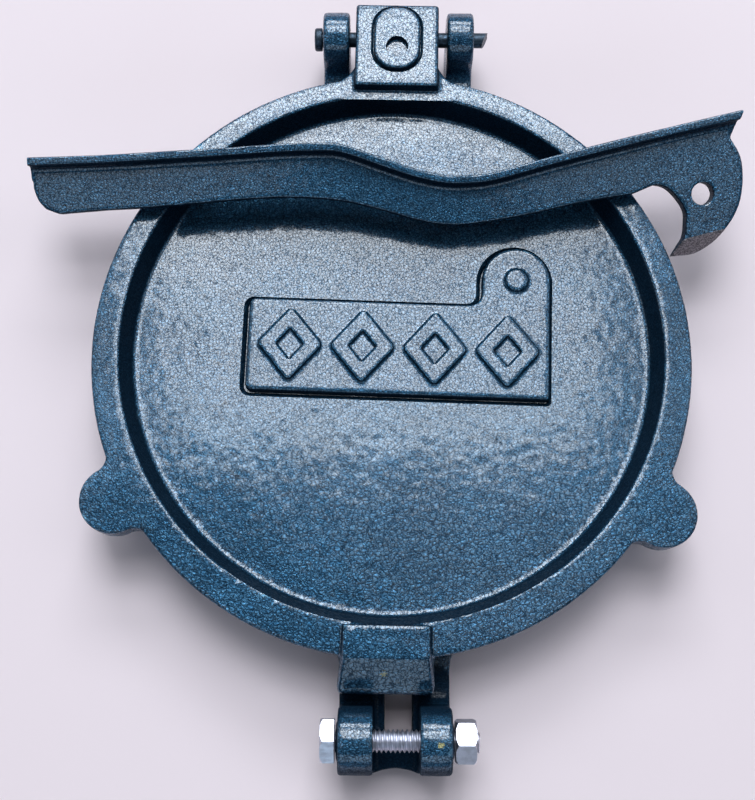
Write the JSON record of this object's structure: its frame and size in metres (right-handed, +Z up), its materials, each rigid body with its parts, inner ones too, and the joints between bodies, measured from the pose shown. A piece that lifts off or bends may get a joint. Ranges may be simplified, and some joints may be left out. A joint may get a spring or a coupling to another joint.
{
  "type": "roti press",
  "caption": "Cast-iron roti press with a hinged round plate, sunk pan, finger tabs, a slotted pivot clevis with bolt and nut, and a loose hooked pressing lever.",
  "frame": {"origin": "on the floor under the centre of the base disc", "axes": "+Z up, +Y from the front clevis towards the rear hinge, +X to the right as seen from the front"},
  "size_m": [0.2101, 0.2302, 0.0409],
  "materials": {
    "hammertone_iron": "glossy blue hammertone paint over cast iron",
    "zinc_steel": "bright zinc plate",
    "dark_steel": "steel rod with a thin dark coat of the same paint"
  },
  "bodies": {
    "base": {"base_plate": "hammertone_iron"},
    "plate": {"upper_plate": "hammertone_iron"},
    "lever": {"lever": "hammertone_iron"},
    "hinge_pin": {"hinge_pin": "dark_steel"},
    "pivot_bolt": {"clevis_bolt": "zinc_steel", "clevis_nut": "zinc_steel"}
  },
  "joints": [
    {"name": "plate_hinge", "type": "hinge", "parent": "base", "child": "plate", "pos_m": [0, 0.1029, 0.018], "axis": [-1, 0, 0], "range_deg": [0, 110]},
    {"name": "lever_lift", "type": "slide", "parent": "plate", "child": "lever", "axis": [0, 0, 1], "range_m": [0, 0.12]},
    {"name": "hinge_pin_turn", "type": "hinge", "parent": "base", "child": "hinge_pin", "pos_m": [0, 0.1029, 0.018], "axis": [1, 0, 0], "continuous": true},
    {"name": "pivot_bolt_turn", "type": "hinge", "parent": "base", "child": "pivot_bolt", "pos_m": [0, -0.1094, 0.022], "axis": [1, 0, 0], "continuous": true}
  ]
}
